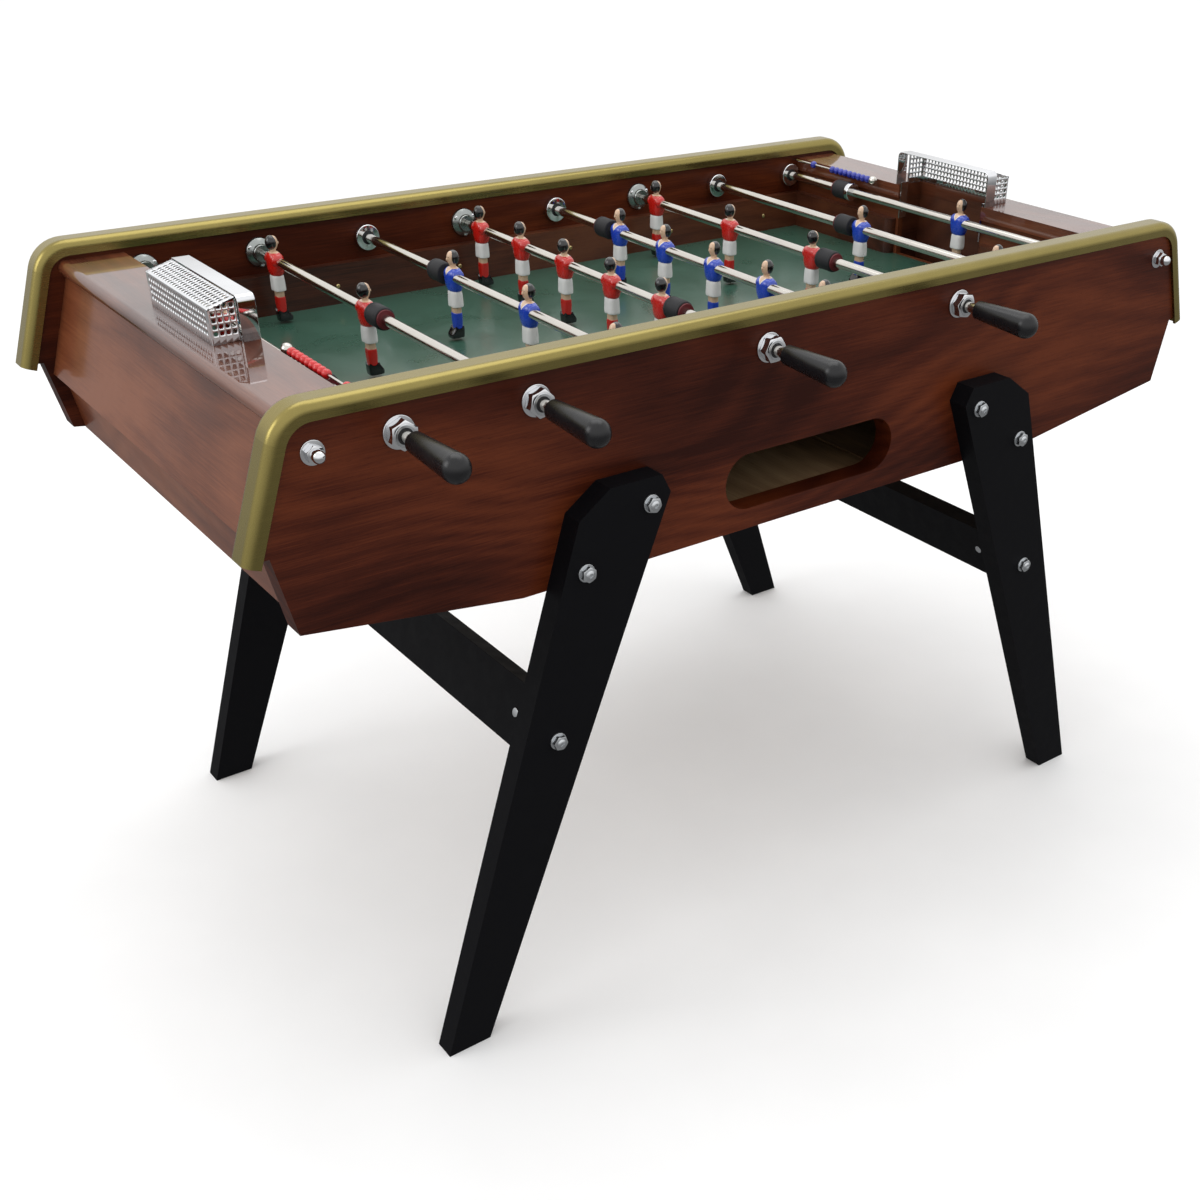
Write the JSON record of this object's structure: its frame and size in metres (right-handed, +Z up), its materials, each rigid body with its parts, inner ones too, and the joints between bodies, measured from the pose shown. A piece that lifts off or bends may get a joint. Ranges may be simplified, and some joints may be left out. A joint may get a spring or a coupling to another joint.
{
  "type": "foosball table",
  "caption": "French cafe style foosball table with telescopic rods, boat-shaped wooden sides under brass rails, perforated chrome goals, bead counters and raked black legs.",
  "frame": {"origin": "on the floor under the middle of the table", "axes": "+X along the table towards the blue goal, +Y across it away from the red players' handles, +Z up"},
  "size_m": [1.4788, 1.015, 0.902],
  "materials": {
    "mahogany": "satin reddish mahogany stain",
    "lacquered_top": "high gloss lacquer over mahogany",
    "plywood": "stained plywood",
    "green_lino": "glossy green-grey linoleum",
    "brass": "satin anodised gold",
    "chrome": "polished",
    "dark_chrome": "polished, dark",
    "zinc": "bright zinc plate",
    "rod_steel": "ground and polished steel",
    "rubber": "black rubber",
    "black_plastic": "semi-gloss moulded plastic",
    "black_paint": "matte black lacquer on wood",
    "red_team": "gloss enamel, several colours",
    "blue_team": "gloss enamel, several colours",
    "red_plastic": "glossy",
    "blue_plastic": "glossy"
  },
  "bodies": {
    "table": {"near_side_wall": "mahogany", "far_side_wall": "mahogany", "near_rail": "brass", "far_rail": "brass", "end_aprons": "mahogany", "lower_end_panels": "mahogany", "left_end_top": "lacquered_top", "right_end_top": "lacquered_top", "goal_walls": "mahogany", "goal_chutes": "plywood", "left_goal_cage": "chrome", "right_goal_cage": "chrome", "playfield": "green_lino", "ledges": "mahogany", "ball_tray": "plywood", "ball_floors": "plywood", "legs": "black_paint", "crossbars": "black_paint", "leg_bolts": "zinc", "apron_bolts": "chrome", "rod_bearings": "chrome", "end_flanges": "dark_chrome", "guide_rods": "rod_steel", "score_wires": "chrome"},
    "red_goalkeeper_slide": {"red_goalkeeper_collar": "rubber"},
    "red_goalkeeper_rod": {"red_goalkeeper_tube": "rod_steel", "red_goalkeeper_players": "red_team", "red_goalkeeper_handle": "black_plastic"},
    "red_defence_slide": {"red_defence_collar": "rubber"},
    "red_defence_rod": {"red_defence_tube": "rod_steel", "red_defence_players": "red_team", "red_defence_handle": "black_plastic"},
    "blue_attack_slide": {"blue_attack_collar": "rubber"},
    "blue_attack_rod": {"blue_attack_tube": "rod_steel", "blue_attack_players": "blue_team", "blue_attack_handle": "black_plastic"},
    "red_midfield_slide": {"red_midfield_collar": "rubber"},
    "red_midfield_rod": {"red_midfield_tube": "rod_steel", "red_midfield_players": "red_team", "red_midfield_handle": "black_plastic"},
    "blue_midfield_slide": {"blue_midfield_collar": "rubber"},
    "blue_midfield_rod": {"blue_midfield_tube": "rod_steel", "blue_midfield_players": "blue_team", "blue_midfield_handle": "black_plastic"},
    "red_attack_slide": {"red_attack_collar": "rubber"},
    "red_attack_rod": {"red_attack_tube": "rod_steel", "red_attack_players": "red_team", "red_attack_handle": "black_plastic"},
    "blue_defence_slide": {"blue_defence_collar": "rubber"},
    "blue_defence_rod": {"blue_defence_tube": "rod_steel", "blue_defence_players": "blue_team", "blue_defence_handle": "black_plastic"},
    "blue_goalkeeper_slide": {"blue_goalkeeper_collar": "rubber"},
    "blue_goalkeeper_rod": {"blue_goalkeeper_tube": "rod_steel", "blue_goalkeeper_players": "blue_team", "blue_goalkeeper_handle": "black_plastic"},
    "red_stock": {"red_stock_beads": "red_plastic"},
    "red_counter": {"red_goal_bead": "red_plastic"},
    "blue_stock": {"blue_stock_beads": "blue_plastic"},
    "blue_counter": {"blue_goal_bead": "blue_plastic"}
  },
  "joints": [
    {"name": "red_goalkeeper_push_pull", "type": "slide", "parent": "table", "child": "red_goalkeeper_slide", "axis": [0, -1, 0], "range_m": [-0.01, 0.1165]},
    {"name": "red_goalkeeper_spin", "type": "hinge", "parent": "red_goalkeeper_slide", "child": "red_goalkeeper_rod", "pos_m": [-0.56, 0, 0.827], "axis": [0, -1, 0], "range_deg": [-55, 180]},
    {"name": "red_defence_push_pull", "type": "slide", "parent": "table", "child": "red_defence_slide", "axis": [0, -1, 0], "range_m": [-0.012, 0.3005]},
    {"name": "red_defence_spin", "type": "hinge", "parent": "red_defence_slide", "child": "red_defence_rod", "pos_m": [-0.4, 0, 0.827], "axis": [0, -1, 0], "continuous": true},
    {"name": "blue_attack_push_pull", "type": "slide", "parent": "table", "child": "blue_attack_slide", "axis": [0, 1, 0], "range_m": [-0.012, 0.1955]},
    {"name": "blue_attack_spin", "type": "hinge", "parent": "blue_attack_slide", "child": "blue_attack_rod", "pos_m": [-0.24, 0, 0.827], "axis": [0, 1, 0], "continuous": true},
    {"name": "red_midfield_push_pull", "type": "slide", "parent": "table", "child": "red_midfield_slide", "axis": [0, -1, 0], "range_m": [-0.012, 0.1195]},
    {"name": "red_midfield_spin", "type": "hinge", "parent": "red_midfield_slide", "child": "red_midfield_rod", "pos_m": [-0.08, 0, 0.827], "axis": [0, -1, 0], "continuous": true},
    {"name": "blue_midfield_push_pull", "type": "slide", "parent": "table", "child": "blue_midfield_slide", "axis": [0, 1, 0], "range_m": [-0.012, 0.1195]},
    {"name": "blue_midfield_spin", "type": "hinge", "parent": "blue_midfield_slide", "child": "blue_midfield_rod", "pos_m": [0.08, 0, 0.827], "axis": [0, 1, 0], "continuous": true},
    {"name": "red_attack_push_pull", "type": "slide", "parent": "table", "child": "red_attack_slide", "axis": [0, -1, 0], "range_m": [-0.012, 0.1955]},
    {"name": "red_attack_spin", "type": "hinge", "parent": "red_attack_slide", "child": "red_attack_rod", "pos_m": [0.24, 0, 0.827], "axis": [0, -1, 0], "continuous": true},
    {"name": "blue_defence_push_pull", "type": "slide", "parent": "table", "child": "blue_defence_slide", "axis": [0, 1, 0], "range_m": [-0.012, 0.3005]},
    {"name": "blue_defence_spin", "type": "hinge", "parent": "blue_defence_slide", "child": "blue_defence_rod", "pos_m": [0.4, 0, 0.827], "axis": [0, 1, 0], "continuous": true},
    {"name": "blue_goalkeeper_push_pull", "type": "slide", "parent": "table", "child": "blue_goalkeeper_slide", "axis": [0, 1, 0], "range_m": [-0.01, 0.1165]},
    {"name": "blue_goalkeeper_spin", "type": "hinge", "parent": "blue_goalkeeper_slide", "child": "blue_goalkeeper_rod", "pos_m": [0.56, 0, 0.827], "axis": [0, 1, 0], "range_deg": [-55, 180]},
    {"name": "red_stock_slide", "type": "slide", "parent": "table", "child": "red_stock", "axis": [0, -1, 0], "range_m": [0, 0.037]},
    {"name": "red_counter_slide", "type": "slide", "parent": "table", "child": "red_counter", "axis": [0, -1, 0], "range_m": [-0.037, 0.0485]},
    {"name": "blue_stock_slide", "type": "slide", "parent": "table", "child": "blue_stock", "axis": [0, 1, 0], "range_m": [0, 0.037]},
    {"name": "blue_counter_slide", "type": "slide", "parent": "table", "child": "blue_counter", "axis": [0, 1, 0], "range_m": [-0.037, 0.0485]}
  ]
}
